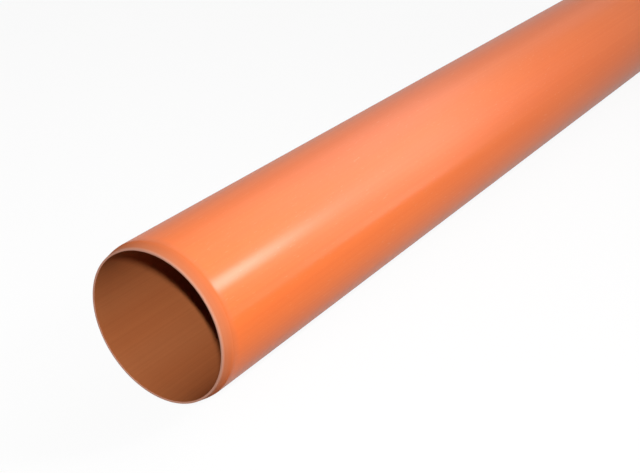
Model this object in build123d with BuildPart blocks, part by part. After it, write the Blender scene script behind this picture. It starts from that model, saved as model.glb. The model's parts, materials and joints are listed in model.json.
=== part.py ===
"""A straight length of plain-ended drainage pipe, lying on its side.

The pipe is one extrusion of hard plastic, sawn square to length. Both ends are spigots: the
outside is turned down to a shallow lead-in cone, so that the pipe slides past the rubber ring
of a socket, and only part of the wall is left standing at the sawn face.

The pipe runs along X, with the origin on the floor under the middle of its length. All lengths
are in millimetres and all angles in degrees.
"""

import math
import os

from build123d import *

# Stock sizes of the pipe
outside_diameter = 110.0
wall_thickness = 3.2
pipe_length = 3000.0

# Lead-in cone of each spigot, with the soft knee where it leaves the barrel
cone_angle = 13.0
tip_wall_share = 0.4
knee_radius = 20.0

# Scraped edges of each sawn face, at the bore and at the cone
tip_edge_radius = 0.3

# Radii and lengths that follow
outside_radius = outside_diameter / 2
bore_radius = outside_radius - wall_thickness
tip_radius = bore_radius + wall_thickness * tip_wall_share
cone_length = (outside_radius - tip_radius) / math.tan(math.radians(cone_angle))
end_x = pipe_length / 2
knee_x = end_x - cone_length

# The pipe's axis is one outside radius above the floor, so that the barrel rests along its
# lowest line. The section is drawn along the pipe and outwards from this axis.
pipe_axis = Axis(origin=(0, 0, outside_radius), direction=(1, 0, 0))
section_plane = Plane(origin=pipe_axis.position, x_dir=pipe_axis.direction, z_dir=(0, -1, 0))

with BuildPart() as pipe:
    with BuildSketch(section_plane) as wall_section:
        with BuildLine() as wall_outline:
            Polyline(
                (-end_x, bore_radius),
                (end_x, bore_radius),
                (end_x, tip_radius),
                (knee_x, outside_radius),
                (-knee_x, outside_radius),
                (-end_x, tip_radius),
                close=True,
            )
        make_face()
        knees = wall_section.vertices().group_by(Axis.Y)[-1]
        fillet(knees, radius=knee_radius)
        left_tip = wall_section.vertices().group_by(Axis.X)[0]
        right_tip = wall_section.vertices().group_by(Axis.X)[-1]
        fillet(left_tip + right_tip, radius=tip_edge_radius)
    revolve(axis=pipe_axis)

pipe.part.label = "pipe"

os.makedirs("parts", exist_ok=True)
export_step(pipe.part, "parts/pipe.step")
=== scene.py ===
"""Looks of a length of plain-ended drainage pipe in orange-brown PVC-U, on a white studio floor.

The file is laid out as an add-on and is run as a script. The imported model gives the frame: the pipe
lies along X, its axis one outside radius above the floor, and its near end at the low end of X. All
lengths are in metres, and small ones are written as millimetres times MM.
"""

import json
import math

import bmesh
import bpy
from mathutils import Matrix, Vector


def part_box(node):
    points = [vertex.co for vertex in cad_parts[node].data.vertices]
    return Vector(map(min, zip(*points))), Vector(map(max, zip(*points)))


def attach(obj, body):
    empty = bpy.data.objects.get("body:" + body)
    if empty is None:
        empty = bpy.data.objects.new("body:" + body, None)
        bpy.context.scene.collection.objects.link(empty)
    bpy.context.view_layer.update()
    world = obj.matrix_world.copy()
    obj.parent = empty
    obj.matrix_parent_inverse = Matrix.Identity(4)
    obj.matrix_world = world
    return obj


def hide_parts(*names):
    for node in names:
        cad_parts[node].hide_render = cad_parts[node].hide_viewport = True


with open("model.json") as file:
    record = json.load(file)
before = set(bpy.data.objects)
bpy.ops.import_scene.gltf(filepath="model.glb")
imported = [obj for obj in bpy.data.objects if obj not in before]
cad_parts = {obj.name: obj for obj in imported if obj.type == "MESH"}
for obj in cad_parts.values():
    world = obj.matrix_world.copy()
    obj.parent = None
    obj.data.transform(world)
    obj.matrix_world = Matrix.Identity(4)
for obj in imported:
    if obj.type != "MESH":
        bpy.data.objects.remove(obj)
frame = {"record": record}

bl_info = {
    "name": "Plain-ended drainage pipe",
    "version": (1, 0, 0),
    "blender": (4, 5, 0),
    "location": "View3D > Sidebar > Pipe",
    "description": "Makes a length of PVC-U drainage pipe and lights it in a white studio",
    "category": "Object",
}

# A millimetre in metres
MM = 0.001

RIGHT_ANGLE = math.radians(90)
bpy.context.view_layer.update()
MOUNTS = {mount["name"]: mount for mount in frame["record"]["mounts"]}
PIPE_LOW, PIPE_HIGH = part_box("pipe")

# The way the pipe lies
ALONG = Vector((1, 0, 0))

# How near a vertex is to a ring's place to count as on it, and how near two are to be one
RING_SLACK = 0.01 * MM
WELD_SLACK = 0.001 * MM

# How far from its corner the ring beside each knee is, in reaches of the knee's arc
KNEE_REACHES = 2

# Places of the finishes in the pipe's list of materials
SKIN, BORE, CUT = range(3)

# Share of each at which skin and cut meet on the knee, so that no seam shows
MEETING_SHARE = 0.5

# Stretch of the noise, which keeps to the middle of 0 to 1, over which each pattern comes in. A
# stretch about the middle gives even clouds, and one above it gives marks that lie apart.
SKIN_STRETCH = (0.3, 0.7)
RUB_STRETCH = (0.64, 0.76)
DUST_STRETCH = (0.4, 0.7)
CUT_STRETCH = (0.35, 0.65)
GROOVE_STRETCH = (0.45, 0.75)

# Finer layers of noise laid over the first in every pattern
NOISE_DETAIL = 2

# Places of the sockets whose names repeat: the values of a Math node, the shaders of a Mix Shader
# node, and the colours that a Mix node takes and gives
FIRST_VALUE, SECOND_VALUE = 0, 1
FIRST_SHADER, SECOND_SHADER = 1, 2
FIRST_COLOUR, SECOND_COLOUR, MIXED_COLOUR = 6, 7, 2

# Tall panels side by side in an arc about the pipe, from the camera's side to past the top. Each
# is one step in degrees above the last, and they differ in nothing else but power.
PANEL_LOWEST = 5
PANEL_STEP = 34
PANEL = dict(along=1.85, away=1.55, aim=-0.1, size=(0.95, 2), fan=45)
PANEL_POWERS = dict(panel_low=0.8, panel_side=1.9, panel_high=1.65, panel_top=1.15, panel_over=0.2)
PANELS = {
    name: dict(PANEL, angle=PANEL_LOWEST + PANEL_STEP * place, power=power)
    for place, (name, power) in enumerate(PANEL_POWERS.items())
}

# Lamps of the studio, in metres, degrees and watts: how far along the pipe from its near end each
# hangs, its angle about the axis from the camera's side upwards, how far away from the axis it
# is, how far along the pipe the point lies that it is turned to, its size, how far a grid on it
# lets its light fan out, and its power
LAMPS = {
    "key": dict(along=-0.84, angle=48, away=1.146, aim=0, size=(0.03, 0.14), fan=180, power=19.5),
    "near_side": dict(along=0.1, angle=2, away=0.8, aim=0.1, size=(0.3, 0.3), fan=180, power=0.8),
    "low_strip": dict(along=0.9, angle=0, away=0.8, aim=-0.05, size=(0.5, 0.1), fan=60, power=0.06),
    "spot": dict(along=1.4, angle=44, away=1.6, aim=-0.1, size=(0.22, 0.42), fan=45, power=0.7),
    **PANELS,
    "far_high": dict(along=4.2, angle=105, away=1.8, aim=0.6, size=(1.4, 1.0), fan=45, power=0.1),
    "long_side": dict(along=2.4, angle=18, away=1.8, aim=2.5, size=(2.2, 1.0), fan=90, power=5.5),
    "long_top": dict(along=2.4, angle=72, away=1.8, aim=2.5, size=(2.2, 1.4), fan=90, power=5),
    "back_fill": dict(along=2.3, angle=158, away=1.6, aim=2.6, size=(2.0, 1.1), fan=90, power=4),
}


def linear(hex_colour):
    """Turns an sRGB hex colour into linear red, green and blue, and adds full opacity."""
    channels = [int(hex_colour[i : i + 2], 16) / 255 for i in (1, 3, 5)]
    return [c / 12.92 if c <= 0.04045 else ((c + 0.055) / 1.055) ** 2.4 for c in channels] + [1]


class PipeSizes(bpy.types.PropertyGroup):
    """Sizes of the pipe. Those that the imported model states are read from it."""

    outside_radius: bpy.props.FloatProperty(
        name="Outside radius",
        description="Radius of the barrel",
        default=MOUNTS["spigot_near"]["dims"]["r_mm"] * MM,
        unit="LENGTH",
        precision=4,
    )
    bore_radius: bpy.props.FloatProperty(
        name="Bore radius",
        description="Radius of the open bore",
        default=MOUNTS["bore"]["dims"]["r_mm"] * MM,
        unit="LENGTH",
        precision=4,
    )
    length: bpy.props.FloatProperty(
        name="Length",
        description="Length from one sawn face to the other",
        default=PIPE_HIGH.x - PIPE_LOW.x,
        unit="LENGTH",
    )
    cone_angle: bpy.props.FloatProperty(
        name="Cone angle",
        description="Angle between the lead-in cone and the barrel",
        default=math.radians(13),
        subtype="ANGLE",
    )
    tip_wall_share: bpy.props.FloatProperty(
        name="Wall left at the tip",
        description="Share of the wall that the lead-in cone leaves at the sawn face",
        default=0.4,
        subtype="FACTOR",
    )
    knee_radius: bpy.props.FloatProperty(
        name="Knee radius",
        description="Radius of the soft knee between cone and barrel",
        default=20 * MM,
        unit="LENGTH",
        precision=4,
    )
    tip_edge_radius: bpy.props.FloatProperty(
        name="Tip edge radius",
        description="Radius of the scraped edges of each sawn face",
        default=0.3 * MM,
        unit="LENGTH",
        precision=5,
    )
    facets: bpy.props.IntProperty(
        name="Facets",
        description="Facets round the pipe",
        default=192,
    )
    corner_facets: bpy.props.IntProperty(
        name="Corner facets",
        description="Facets across each knee and each scraped edge",
        default=6,
    )
    bay: bpy.props.FloatProperty(
        name="Bay",
        description="Longest facet along the pipe",
        default=75 * MM,
        unit="LENGTH",
    )

    @property
    def end(self):
        """How far each sawn face is from the middle of the pipe's length"""
        return self.length / 2

    @property
    def tip_radius(self):
        """Radius of the outer corner of each sawn face"""
        wall = self.outside_radius - self.bore_radius
        return self.bore_radius + wall * self.tip_wall_share

    @property
    def knee(self):
        """How far the corner between cone and barrel is from the middle of the pipe's length"""
        return self.end - (self.outside_radius - self.tip_radius) / math.tan(self.cone_angle)

    @property
    def middle(self):
        """The point of the pipe's axis over the origin"""
        return Vector((0, 0, self.outside_radius))


class PipeColours(bpy.types.PropertyGroup):
    """Colours of the pipe's finishes"""

    skin: bpy.props.FloatVectorProperty(
        name="Skin",
        description="Extruded outside of the pipe",
        default=linear("#E86F31"),
        subtype="COLOR",
        size=4,
        min=0,
        max=1,
    )
    skin_pale: bpy.props.FloatVectorProperty(
        name="Pale skin",
        description="Paler clouds in the outside, where the pigment is thinner",
        default=linear("#EB7636"),
        subtype="COLOR",
        size=4,
        min=0,
        max=1,
    )
    skin_dark: bpy.props.FloatVectorProperty(
        name="Dark skin",
        description="Draw lines in the outside",
        default=linear("#DA5F28"),
        subtype="COLOR",
        size=4,
        min=0,
        max=1,
    )
    rub: bpy.props.FloatVectorProperty(
        name="Rub marks",
        description="Plastic whitened by a rub",
        default=linear("#F0A070"),
        subtype="COLOR",
        size=4,
        min=0,
        max=1,
    )
    # Darker and browner than the skin, as painted shade inside the bore: the real bore is the same
    # orange plastic.
    bore: bpy.props.FloatVectorProperty(
        name="Bore",
        description="Duller, browner skin of the bore",
        default=linear("#AF663B"),
        subtype="COLOR",
        size=4,
        min=0,
        max=1,
    )
    # Streaks darker still, and carrying the same painted shade of the bore.
    bore_dark: bpy.props.FloatVectorProperty(
        name="Dark bore",
        description="Darker streaks along the bore",
        default=linear("#A96138"),
        subtype="COLOR",
        size=4,
        min=0,
        max=1,
    )
    dust: bpy.props.FloatVectorProperty(
        name="Dust",
        description="Pale dust in the mouth of the bore",
        default=linear("#B57950"),
        subtype="COLOR",
        size=4,
        min=0,
        max=1,
    )
    # Darker than the skin, partly because cut plastic is duller and partly as painted shade on the
    # cone.
    cut: bpy.props.FloatVectorProperty(
        name="Cut",
        description="Bare plastic where the pipe is sawn and bevelled",
        default=linear("#C86E46"),
        subtype="COLOR",
        size=4,
        min=0,
        max=1,
    )
    cut_pale: bpy.props.FloatVectorProperty(
        name="Pale cut",
        description="Edges of the turned grooves",
        default=linear("#CF7B54"),
        subtype="COLOR",
        size=4,
        min=0,
        max=1,
    )
    burr: bpy.props.FloatVectorProperty(
        name="Burr",
        description="Plastic whitened by the saw, on the face and its edges",
        default=linear("#CB937D"),
        subtype="COLOR",
        size=4,
        min=0,
        max=1,
    )


class PipeFinish(bpy.types.PropertyGroup):
    """Gloss of the plastic, and the sizes and strengths of the marks of its making and handling"""

    ior: bpy.props.FloatProperty(
        name="Index of refraction",
        description="Starts from 1.53 for PVC-U, and is lowered to the weak gloss that shows",
        default=1.4,
    )
    skin_gloss: bpy.props.FloatProperty(
        name="Skin gloss",
        description="Share of the outside that is smooth. The rest is dulled by fine scratches",
        default=0.5,
        subtype="FACTOR",
    )
    skin_roughness: bpy.props.FloatProperty(
        name="Skin roughness",
        description="Satin of the smooth share, from the cold sizing sleeve",
        default=0.23,
        subtype="FACTOR",
    )
    dull_gloss: bpy.props.FloatProperty(
        name="Dull gloss",
        description="Share of the bore and of the cut faces that is smooth",
        default=0.3,
        subtype="FACTOR",
    )
    bore_roughness: bpy.props.FloatProperty(
        name="Bore roughness",
        description="Duller inside, which nothing sizes",
        default=0.6,
        subtype="FACTOR",
    )
    cut_roughness: bpy.props.FloatProperty(
        name="Cut roughness",
        description="Matt plastic behind a blade",
        default=0.65,
        subtype="FACTOR",
    )
    cloud_length: bpy.props.FloatProperty(
        name="Cloud length",
        description="Length of a cloud in the pigment",
        default=260 * MM,
        unit="LENGTH",
    )
    cloud_width: bpy.props.FloatProperty(
        name="Cloud width",
        description="Width of a cloud in the pigment",
        default=60 * MM,
        unit="LENGTH",
    )
    wave_length: bpy.props.FloatProperty(
        name="Wave length",
        description="Length of the slow waves that the sizing sleeve leaves in the outside",
        default=110 * MM,
        unit="LENGTH",
    )
    wave_width: bpy.props.FloatProperty(
        name="Wave width",
        description="Width of the slow waves in the outside, and size of the clouds in a cut face",
        default=45 * MM,
        unit="LENGTH",
    )
    wave_depth: bpy.props.FloatProperty(
        name="Wave depth",
        description="Depth of the slow waves",
        default=0.18 * MM,
        unit="LENGTH",
        precision=5,
    )
    line_length: bpy.props.FloatProperty(
        name="Draw line length",
        description="How far a draw line of the die runs before it fades",
        default=900 * MM,
        unit="LENGTH",
    )
    # Real draw lines are about 0.3 mm wide, too fine to show, so they are drawn coarser
    line_width: bpy.props.FloatProperty(
        name="Draw line width",
        description="Width of a draw line",
        default=1.6 * MM,
        unit="LENGTH",
        precision=5,
    )
    line_depth: bpy.props.FloatProperty(
        name="Draw line depth",
        description="Depth of a draw line",
        default=0.012 * MM,
        unit="LENGTH",
        precision=5,
    )
    line_share: bpy.props.FloatProperty(
        name="Draw line share",
        description="How much of its dark colour a draw line shows in the outside",
        default=0.18,
        subtype="FACTOR",
    )
    rub_length: bpy.props.FloatProperty(
        name="Rub length",
        description="Length of the pale rub marks that pipes leave on each other",
        default=90 * MM,
        unit="LENGTH",
    )
    rub_width: bpy.props.FloatProperty(
        name="Rub width",
        description="Width of a rub mark",
        default=0.9 * MM,
        unit="LENGTH",
        precision=5,
    )
    rub_slant: bpy.props.FloatProperty(
        name="Rub slant",
        description="Angle of the rub marks from the pipe's length",
        default=math.radians(7),
        subtype="ANGLE",
    )
    rub_share: bpy.props.FloatProperty(
        name="Rub share",
        description="How much of its pale colour a rub mark shows",
        default=0.2,
        subtype="FACTOR",
    )
    scuff_reach: bpy.props.FloatProperty(
        name="Scuff reach",
        description="How far each side of the knee the skin and the cut take to blend",
        default=6 * MM,
        unit="LENGTH",
        precision=4,
    )
    burr_reach: bpy.props.FloatProperty(
        name="Burr reach",
        description="How far in from the sawn face the plastic is whitened",
        default=2 * MM,
        unit="LENGTH",
        precision=4,
    )
    dust_reach: bpy.props.FloatProperty(
        name="Dust reach",
        description="How far pale dust goes into the bore",
        default=140 * MM,
        unit="LENGTH",
    )
    dust_share: bpy.props.FloatProperty(
        name="Dust share",
        description="How much of its pale colour the dust shows where it is thickest",
        default=0.35,
        subtype="FACTOR",
    )
    ripple_length: bpy.props.FloatProperty(
        name="Ripple length",
        description="Spacing of the soft rings in the bore, from uneven haul-off",
        default=24 * MM,
        unit="LENGTH",
    )
    ripple_depth: bpy.props.FloatProperty(
        name="Ripple depth",
        description="Depth of the soft rings in the bore",
        default=0.15 * MM,
        unit="LENGTH",
        precision=5,
    )
    # Real turned grooves are 0.2 mm apart, too fine to show, so they are drawn coarser
    groove_pitch: bpy.props.FloatProperty(
        name="Groove pitch",
        description="Spacing of the turned grooves",
        default=0.8 * MM,
        unit="LENGTH",
        precision=5,
    )
    groove_depth: bpy.props.FloatProperty(
        name="Groove depth",
        description="Depth of the turned grooves",
        default=0.03 * MM,
        unit="LENGTH",
        precision=5,
    )
    groove_share: bpy.props.FloatProperty(
        name="Groove share",
        description="How much of its pale colour the edge of a turned groove shows",
        default=0.4,
        subtype="FACTOR",
    )


class StudioSettings(bpy.types.PropertyGroup):
    """Camera, floor and even light of the studio"""

    camera_back: bpy.props.FloatProperty(
        name="Camera back",
        description="How far the camera stands back from the near end, along the pipe",
        default=0.4398,
        unit="LENGTH",
    )
    camera_side: bpy.props.FloatProperty(
        name="Camera aside",
        description="How far the camera stands to the side of the pipe's axis",
        default=0.4240,
        unit="LENGTH",
    )
    camera_height: bpy.props.FloatProperty(
        name="Camera height",
        description="Height of the camera above the floor",
        default=0.4289,
        unit="LENGTH",
    )
    camera_heading: bpy.props.FloatProperty(
        name="Camera heading",
        description="Angle from the pipe's length to the way the camera looks, seen from above",
        default=math.radians(34.347),
        subtype="ANGLE",
    )
    camera_pitch: bpy.props.FloatProperty(
        name="Camera pitch",
        description="How far the camera looks down from the level",
        default=math.radians(27.256),
        subtype="ANGLE",
    )
    camera_field: bpy.props.FloatProperty(
        name="Field of view",
        description="Angle that the picture's width takes in",
        default=math.radians(31.303),
        subtype="ANGLE",
    )
    floor_reach: bpy.props.FloatProperty(
        name="Floor reach",
        description="How far the floor goes each way from the middle of the pipe",
        default=30,
        unit="LENGTH",
    )
    floor_colour: bpy.props.FloatVectorProperty(
        name="Floor",
        description="White paper floor",
        default=linear("#F4F4F4"),
        subtype="COLOR",
        size=4,
        min=0,
        max=1,
    )
    floor_bounce: bpy.props.FloatVectorProperty(
        name="Floor bounce",
        description="Tone of the floor in the light that it throws back at the pipe",
        default=linear("#606060"),
        subtype="COLOR",
        size=4,
        min=0,
        max=1,
    )
    floor_glow: bpy.props.FloatProperty(
        name="Floor glow",
        description="Share of the floor's look that is plain white, whatever light falls on it",
        default=0.92,
        subtype="FACTOR",
    )
    ambient: bpy.props.FloatProperty(
        name="Ambient",
        description="Strength of the even light from all round",
        default=0.05,
    )


def add_node(tree, kind, settings=None, inputs=None):
    """Adds one node, sets its properties, and sets or links its inputs."""
    node = tree.nodes.new(kind)
    for name, value in (settings or {}).items():
        setattr(node, name, value)
    for name, value in (inputs or {}).items():
        if isinstance(value, bpy.types.NodeSocket):
            tree.links.new(value, node.inputs[name])
        else:
            node.inputs[name].default_value = value
    return node


def new_material(name):
    """A new material, and its node tree, which is empty."""
    material = bpy.data.materials.new(name)
    material.use_nodes = True
    material.node_tree.nodes.clear()
    return material, material.node_tree


def streaks(tree, place, length, width, slant=0.0):
    """Uneven streaks along the pipe, this long and wide. Those wider than they are long are rings."""
    stretch = add_node(
        tree,
        "ShaderNodeMapping",
        {"vector_type": "TEXTURE"},
        {"Vector": place, "Rotation": (0, slant, slant), "Scale": (length, width, width)},
    )
    inputs = {"Vector": stretch.outputs["Vector"], "Scale": 1, "Detail": NOISE_DETAIL}
    return add_node(tree, "ShaderNodeTexNoise", inputs=inputs).outputs["Fac"]


def from_middle(tree, place):
    """How far each point is from the middle of the pipe's length."""
    along = add_node(tree, "ShaderNodeSeparateXYZ", inputs={"Vector": place}).outputs["X"]
    inputs = {FIRST_VALUE: along}
    return add_node(tree, "ShaderNodeMath", {"operation": "ABSOLUTE"}, inputs).outputs["Value"]


def tint(tree, under, over, value, low, high, start=0.0, stop=1.0):
    """Lays one colour over another. Its share goes from start to stop as the value goes from low
    to high."""
    inputs = {"Value": value, "From Min": low, "From Max": high, "To Min": start, "To Max": stop}
    share = add_node(tree, "ShaderNodeMapRange", inputs=inputs).outputs["Result"]
    inputs = {"Factor": share, FIRST_COLOUR: under, SECOND_COLOUR: over}
    return add_node(tree, "ShaderNodeMix", {"data_type": "RGBA"}, inputs).outputs[MIXED_COLOUR]


def drawn_relief(tree, waves, wave_depth, lines, line_depth):
    """The relief of an extruded wall: fine draw lines over slow waves."""
    swell = add_node(tree, "ShaderNodeBump", inputs={"Height": waves, "Distance": wave_depth})
    inputs = {"Height": lines, "Distance": line_depth, "Normal": swell.outputs["Normal"]}
    return add_node(tree, "ShaderNodeBump", inputs=inputs).outputs["Normal"]


def plastic(tree, colour, normal, gloss, roughness, finish):
    """Closes a finish with the shader of plain plastic, of which only this share is smooth enough
    to shine. The rest is matt, so the shine is a coat over a base that has none."""
    inputs = {
        "Base Color": colour,
        "Normal": normal,
        "Specular IOR Level": 0,
        "Coat Weight": gloss,
        "Coat Roughness": roughness,
        "Coat IOR": finish.ior,
        "Coat Normal": normal,
    }
    shader = add_node(tree, "ShaderNodeBsdfPrincipled", inputs=inputs)
    add_node(tree, "ShaderNodeOutputMaterial", inputs={"Surface": shader.outputs["BSDF"]})


def extruded_skin(sizes, colours, finish):
    """PVC-U drawn through a cold sizing sleeve: a satin orange, a little cloudy, with long fine
    draw lines, slow waves that soften the highlights, and a few pale rub marks from handling."""
    material, tree = new_material("pvc_u_extruded_skin")
    place = add_node(tree, "ShaderNodeTexCoord").outputs["Object"]
    clouds = streaks(tree, place, finish.cloud_length, finish.cloud_width)
    lines = streaks(tree, place, finish.line_length, finish.line_width)
    waves = streaks(tree, place, finish.wave_length, finish.wave_width)
    rubs = streaks(tree, place, finish.rub_length, finish.rub_width, finish.rub_slant)

    cloudy = tint(tree, colours.skin, colours.skin_pale, clouds, *SKIN_STRETCH)
    lined = tint(tree, cloudy, colours.skin_dark, lines, *SKIN_STRETCH, stop=finish.line_share)
    handled = tint(tree, lined, colours.rub, rubs, *RUB_STRETCH, stop=finish.rub_share)
    # Near the knee the skin blends into the cut colour, and so takes on part of the cone's painted
    # shade.
    scuffed_with_painted_shade = tint(
        tree,
        handled,
        colours.cut,
        from_middle(tree, place),
        sizes.knee - finish.scuff_reach,
        sizes.knee,
        stop=MEETING_SHARE,
    )
    normal = drawn_relief(tree, waves, finish.wave_depth, lines, finish.line_depth)
    plastic(tree, scuffed_with_painted_shade, normal, finish.skin_gloss, finish.skin_roughness, finish)
    return material


def bore_skin(sizes, colours, finish):
    """The same PVC-U inside, cooled in air and nearly matt, with streaks along it, soft rings from
    the haul-off, and patches of pale dust towards the mouth. Its colours are darker and browner than
    the skin's: painted shade inside the bore."""
    material, tree = new_material("pvc_u_bore_skin")
    place = add_node(tree, "ShaderNodeTexCoord").outputs["Object"]
    clouds = streaks(tree, place, finish.cloud_length, finish.cloud_width)
    lines = streaks(tree, place, finish.line_length, finish.line_width)
    rings = streaks(tree, place, finish.ripple_length, finish.line_length)

    low, high = DUST_STRETCH
    patches = add_node(
        tree,
        "ShaderNodeMapRange",
        inputs={"Value": clouds, "From Min": low, "From Max": high, "To Max": finish.dust_share},
    )
    # The bore's colours carry painted shade: they are darker than the same plastic outside.
    streaky = tint(tree, colours.bore, colours.bore_dark, lines, *SKIN_STRETCH)
    dusty = tint(
        tree,
        streaky,
        colours.dust,
        from_middle(tree, place),
        sizes.end - finish.dust_reach,
        sizes.end,
        stop=patches.outputs["Result"],
    )
    normal = drawn_relief(tree, rings, finish.ripple_depth, lines, finish.line_depth)
    plastic(tree, dusty, normal, finish.dull_gloss, finish.bore_roughness, finish)
    return material


def cut_face(sizes, colours, finish):
    """PVC-U where the saw and the bevelling blade went round it: matt, whitened at the sawn face,
    with turned grooves round the cone and round that face. Its colour is darker than the skin's,
    partly as duller cut plastic and partly as painted shade on the cone."""
    material, tree = new_material("pvc_u_cut_face")
    place = add_node(tree, "ShaderNodeTexCoord").outputs["Object"]
    axis = add_node(
        tree,
        "ShaderNodeMapping",
        {"vector_type": "TEXTURE"},
        {"Vector": place, "Location": sizes.middle},
    )
    parts = add_node(tree, "ShaderNodeSeparateXYZ", inputs={"Vector": axis.outputs["Vector"]})
    inputs = {"X": parts.outputs["Y"], "Y": parts.outputs["Z"]}
    across = add_node(tree, "ShaderNodeCombineXYZ", inputs=inputs).outputs["Vector"]
    inputs = {"Vector": across}
    radius = add_node(tree, "ShaderNodeVectorMath", {"operation": "LENGTH"}, inputs)
    inputs = {"X": parts.outputs["X"], "Y": radius.outputs["Value"]}
    turned = add_node(tree, "ShaderNodeCombineXYZ", inputs=inputs).outputs["Vector"]
    grooves = streaks(tree, turned, finish.groove_pitch, finish.groove_pitch)
    clouds = streaks(tree, place, finish.wave_width, finish.wave_width)
    distance = from_middle(tree, place)
    past_knee = sizes.knee + finish.scuff_reach
    burr_start = sizes.end - finish.burr_reach

    # The cut colour is darker than the skin partly as painted shade on the cone.
    cloudy = tint(tree, colours.cut, colours.cut_pale, clouds, *CUT_STRETCH)
    grooved = tint(tree, cloudy, colours.cut_pale, grooves, *GROOVE_STRETCH, stop=finish.groove_share)
    whitened = tint(tree, grooved, colours.burr, distance, burr_start, sizes.end)
    colour = tint(
        tree, whitened, colours.skin, distance, sizes.knee, past_knee, start=MEETING_SHARE, stop=0
    )
    relief = add_node(
        tree, "ShaderNodeBump", inputs={"Height": grooves, "Distance": finish.groove_depth}
    )
    normal = relief.outputs["Normal"]
    plastic(tree, colour, normal, finish.dull_gloss, finish.cut_roughness, finish)
    return material


def room_share(tree):
    """One for the rays that show the room itself, to the lens, in gloss or through glass, and
    nought for the light that the room sheds."""
    path = add_node(tree, "ShaderNodeLightPath").outputs
    shown = path["Is Camera Ray"]
    for name in ("Is Glossy Ray", "Is Transmission Ray"):
        inputs = {FIRST_VALUE: shown, SECOND_VALUE: path[name]}
        shown = add_node(tree, "ShaderNodeMath", {"operation": "MAXIMUM"}, inputs).outputs["Value"]
    return shown


def white_paper(studio):
    """Matt white studio paper. The lens sees it almost plain white, with the pipe's soft shadow,
    and it throws only a little light back at the pipe."""
    material, tree = new_material("white_paper")
    seen = room_share(tree)
    inputs = {"Factor": seen, FIRST_COLOUR: studio.floor_bounce, SECOND_COLOUR: studio.floor_colour}
    colour = add_node(tree, "ShaderNodeMix", {"data_type": "RGBA"}, inputs).outputs[MIXED_COLOUR]
    paper = add_node(tree, "ShaderNodeBsdfDiffuse", inputs={"Color": colour})
    glow = add_node(tree, "ShaderNodeEmission", inputs={"Strength": 1})
    inputs = {FIRST_VALUE: seen, SECOND_VALUE: studio.floor_glow}
    share = add_node(tree, "ShaderNodeMath", {"operation": "MULTIPLY"}, inputs)
    surface = add_node(
        tree,
        "ShaderNodeMixShader",
        inputs={
            "Fac": share.outputs["Value"],
            FIRST_SHADER: paper.outputs["BSDF"],
            SECOND_SHADER: glow.outputs["Emission"],
        },
    )
    add_node(tree, "ShaderNodeOutputMaterial", inputs={"Surface": surface.outputs["Shader"]})
    return material


def add_object(scene, name, mesh):
    """Turns a finished bmesh into an object of the scene."""
    data = bpy.data.meshes.new(name)
    mesh.to_mesh(data)
    mesh.free()
    item = bpy.data.objects.new(name, data)
    scene.collection.objects.link(item)
    return item


def wall_section(mesh, sizes):
    """Draws the cut wall above the pipe's axis as a loop of six corners."""
    corners = [
        (-sizes.end, sizes.bore_radius),
        (sizes.end, sizes.bore_radius),
        (sizes.end, sizes.tip_radius),
        (sizes.knee, sizes.outside_radius),
        (-sizes.knee, sizes.outside_radius),
        (-sizes.end, sizes.tip_radius),
    ]
    vertices = [mesh.verts.new(sizes.middle + Vector((x, 0, radius))) for x, radius in corners]
    edges = [mesh.edges.new(pair) for pair in zip(vertices, vertices[1:] + vertices[:1])]
    return vertices + edges


def ring_edges(mesh, middle, x, radius):
    """The edges of the circle at this place along the pipe and this far from its axis."""

    def on_ring(vertex):
        off = vertex.co - middle
        near_place = abs(off.x - x) < RING_SLACK
        return near_place and abs(math.hypot(off.y, off.z) - radius) < RING_SLACK

    return [edge for edge in mesh.edges if all(on_ring(vertex) for vertex in edge.verts)]


def arc_reach(radius, turn):
    """How far an arc of this radius reaches back from a corner that turns by this angle."""
    return radius * math.tan(turn / 2)


def round_corners(mesh, sizes):
    """Rounds the knees and the scraped edges of both sawn faces."""
    tip_turn = RIGHT_ANGLE - sizes.cone_angle
    for side in (-1, 1):
        corners = [
            (side * sizes.knee, sizes.outside_radius, sizes.knee_radius, sizes.cone_angle),
            (side * sizes.end, sizes.tip_radius, sizes.tip_edge_radius, tip_turn),
            (side * sizes.end, sizes.bore_radius, sizes.tip_edge_radius, RIGHT_ANGLE),
        ]
        for x, radius, rounding, turn in corners:
            bmesh.ops.bevel(
                mesh,
                geom=ring_edges(mesh, sizes.middle, x, radius),
                offset=arc_reach(rounding, turn),
                offset_type="OFFSET",
                segments=sizes.corner_facets,
                profile=0.5,
                affect="EDGES",
                material=-1,
            )


def cut_into_bays(mesh, sizes):
    """Cuts the long walls into bays, with one ring close to each knee to hold its shading."""
    bays = math.ceil(sizes.length / sizes.bay)
    stations = [sizes.length * bay / bays - sizes.end for bay in range(1, bays)]
    beside_knee = sizes.knee - KNEE_REACHES * arc_reach(sizes.knee_radius, sizes.cone_angle)
    for x in [-beside_knee, *stations, beside_knee]:
        bmesh.ops.bisect_plane(
            mesh,
            geom=[*mesh.verts, *mesh.edges, *mesh.faces],
            plane_co=sizes.middle + x * ALONG,
            plane_no=ALONG,
        )


def spin_wall(sizes):
    """The wall's section spun round the pipe's axis, with its corners rounded."""
    mesh = bmesh.new()
    bmesh.ops.spin(
        mesh,
        geom=wall_section(mesh, sizes),
        cent=sizes.middle,
        axis=ALONG,
        angle=math.tau,
        steps=sizes.facets,
        use_merge=True,
    )
    bmesh.ops.remove_doubles(mesh, verts=mesh.verts, dist=WELD_SLACK)
    bmesh.ops.recalc_face_normals(mesh, faces=mesh.faces)
    round_corners(mesh, sizes)
    cut_into_bays(mesh, sizes)
    return mesh


def finish_of(face, sizes):
    """Which finish this face of the wall has: extruded outside, bore, or cut by a blade."""
    off = face.calc_center_median() - sizes.middle
    faces_axis = face.normal.y * off.y + face.normal.z * off.z < 0
    if faces_axis and abs(off.x) < sizes.end - sizes.tip_edge_radius:
        return BORE
    return CUT if abs(off.x) > sizes.knee else SKIN


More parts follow.
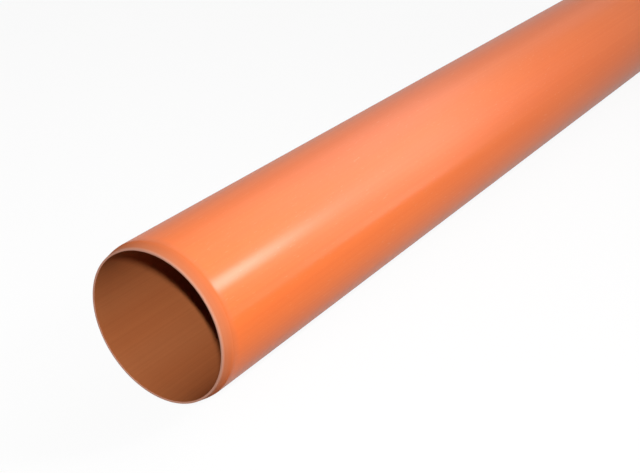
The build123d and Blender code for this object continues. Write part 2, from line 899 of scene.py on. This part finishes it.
class PIPE_OT_make_pipe(bpy.types.Operator):
    """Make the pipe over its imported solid, and give each of its surfaces its finish"""

    bl_idname = "pipe.make_pipe"
    bl_label = "Make Pipe"

    def execute(self, context):
        scene = context.scene
        sizes = scene.pipe_sizes
        mesh = spin_wall(sizes)
        for face in mesh.faces:
            face.smooth = True
            face.material_index = finish_of(face, sizes)
        pipe = add_object(scene, "pipe_wall", mesh)
        for make_finish in (extruded_skin, bore_skin, cut_face):
            finish = make_finish(sizes, scene.pipe_colours, scene.pipe_finish)
            pipe.data.materials.append(finish)
        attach(pipe, "root")
        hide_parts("pipe")
        return {"FINISHED"}


class PIPE_OT_set_studio(bpy.types.Operator):
    """Lay the white floor, hang the lamps and stand the camera at the near end"""

    bl_idname = "pipe.set_studio"
    bl_label = "Set Studio"

    def execute(self, context):
        scene = context.scene
        self.lay_floor(scene)
        self.fill_world(scene)
        self.hang_lamps(scene)
        self.stand_camera(scene)
        scene.view_settings.view_transform = "Standard"
        return {"FINISHED"}

    def lay_floor(self, scene):
        """A wide flat sheet of paper under the pipe."""
        studio = scene.pipe_studio
        mesh = bmesh.new()
        bmesh.ops.create_grid(mesh, x_segments=1, y_segments=1, size=studio.floor_reach)
        floor = add_object(scene, "floor", mesh)
        floor.data.materials.append(white_paper(studio))

    def fill_world(self, scene):
        """An even white room, plain white to the lens and in gloss, and a low fill on surfaces."""
        world = bpy.data.worlds.new("white_room")
        world.use_nodes = True
        tree = world.node_tree
        tree.nodes.clear()
        inputs = {FIRST_VALUE: room_share(tree), SECOND_VALUE: scene.pipe_studio.ambient}
        strength = add_node(tree, "ShaderNodeMath", {"operation": "MAXIMUM"}, inputs)
        white = (1, 1, 1, 1)
        inputs = {"Color": white, "Strength": strength.outputs["Value"]}
        room = add_node(tree, "ShaderNodeBackground", inputs=inputs)
        add_node(tree, "ShaderNodeOutputWorld", inputs={"Surface": room.outputs["Background"]})
        scene.world = world

    def hang_lamps(self, scene):
        """Soft boxes round the pipe, each turned to the point of the axis that it lights."""
        sizes = scene.pipe_sizes
        near_end = sizes.middle - sizes.end * ALONG
        for name, lamp in LAMPS.items():
            turn = math.radians(lamp["angle"])
            outwards = Vector((0, -math.cos(turn), math.sin(turn)))
            place = near_end + lamp["along"] * ALONG + lamp["away"] * outwards
            target = near_end + lamp["aim"] * ALONG
            back = (place - target).normalized()
            across = back.cross(ALONG).normalized()
            light = bpy.data.lights.new(name, "AREA")
            light.shape = "RECTANGLE"
            light.size, light.size_y = lamp["size"]
            light.spread = math.radians(lamp["fan"])
            light.energy = lamp["power"]
            box = bpy.data.objects.new(name, light)
            axes = Matrix((across.cross(back), across, back)).transposed()
            box.matrix_world = Matrix.Translation(place) @ axes.to_4x4()
            box.visible_camera = False
            scene.collection.objects.link(box)

    def stand_camera(self, scene):
        """The lens looks along the pipe from beyond its near end, down and across the mouth."""
        studio = scene.pipe_studio
        data = bpy.data.cameras.new("camera")
        data.angle = studio.camera_field
        camera = bpy.data.objects.new("camera", data)
        camera.location = (
            -scene.pipe_sizes.end - studio.camera_back,
            -studio.camera_side,
            studio.camera_height,
        )
        camera.rotation_euler = (
            RIGHT_ANGLE - studio.camera_pitch,
            0,
            studio.camera_heading - RIGHT_ANGLE,
        )
        scene.collection.objects.link(camera)
        scene.camera = camera


class PIPE_PT_sidebar(bpy.types.Panel):
    """Lists the pipe's sizes and colours, and the steps that make it"""

    bl_label = "Drainage Pipe"
    bl_idname = "PIPE_PT_sidebar"
    bl_space_type = "VIEW_3D"
    bl_region_type = "UI"
    bl_category = "Pipe"

    def draw(self, context):
        for group in ("pipe_sizes", "pipe_colours", "pipe_finish", "pipe_studio"):
            values = getattr(context.scene, group)
            box = self.layout.box()
            for name in values.__annotations__:
                box.prop(values, name)
        self.layout.operator(PIPE_OT_make_pipe.bl_idname)
        self.layout.operator(PIPE_OT_set_studio.bl_idname)


CLASSES = (
    PipeSizes,
    PipeColours,
    PipeFinish,
    StudioSettings,
    PIPE_OT_make_pipe,
    PIPE_OT_set_studio,
    PIPE_PT_sidebar,
)


def register():
    for part in CLASSES:
        bpy.utils.register_class(part)
    bpy.types.Scene.pipe_sizes = bpy.props.PointerProperty(type=PipeSizes)
    bpy.types.Scene.pipe_colours = bpy.props.PointerProperty(type=PipeColours)
    bpy.types.Scene.pipe_finish = bpy.props.PointerProperty(type=PipeFinish)
    bpy.types.Scene.pipe_studio = bpy.props.PointerProperty(type=StudioSettings)


def unregister():
    del bpy.types.Scene.pipe_studio
    del bpy.types.Scene.pipe_finish
    del bpy.types.Scene.pipe_colours
    del bpy.types.Scene.pipe_sizes
    for part in reversed(CLASSES):
        bpy.utils.unregister_class(part)


def main():
    """Makes the pipe and the studio."""
    register()
    bpy.ops.pipe.make_pipe()
    bpy.ops.pipe.set_studio()


if __name__ == "__main__":
    main()
